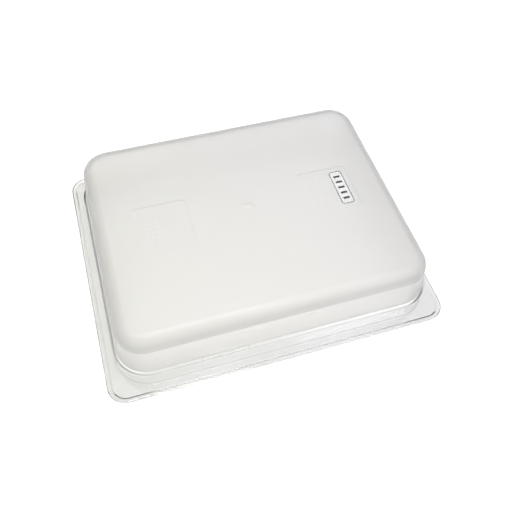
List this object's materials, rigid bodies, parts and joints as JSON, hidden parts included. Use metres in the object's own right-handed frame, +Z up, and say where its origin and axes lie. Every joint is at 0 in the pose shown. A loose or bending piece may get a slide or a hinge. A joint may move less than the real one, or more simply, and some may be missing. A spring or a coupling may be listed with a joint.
{
  "type": "deli food pan",
  "caption": "Shallow half-size gastronorm food pan in clear plastic with a frosted body, stacking ledge and lipped rim, shown upside down on its rim.",
  "frame": {"origin": "centre of the pan in the plane of the rim's face, which the upturned pan stands on", "axes": "+X along the long side of the rim, +Y along its short side, +Z up from the rim's face to the outside of the base. The pan is upside down, so in use it is turned half a turn about X."},
  "size_m": [0.325, 0.265, 0.0625],
  "materials": {
    "clear_plastic": "clear polycarbonate, frosted outside on the base and upper wall, polished on the rim and inside",
    "label_film": "thin white adhesive film",
    "label_ink": "black printed ink"
  },
  "bodies": {
    "root": {"pan": "clear_plastic", "label_film": "label_film", "label_print": "label_ink"}
  },
  "joints": []
}
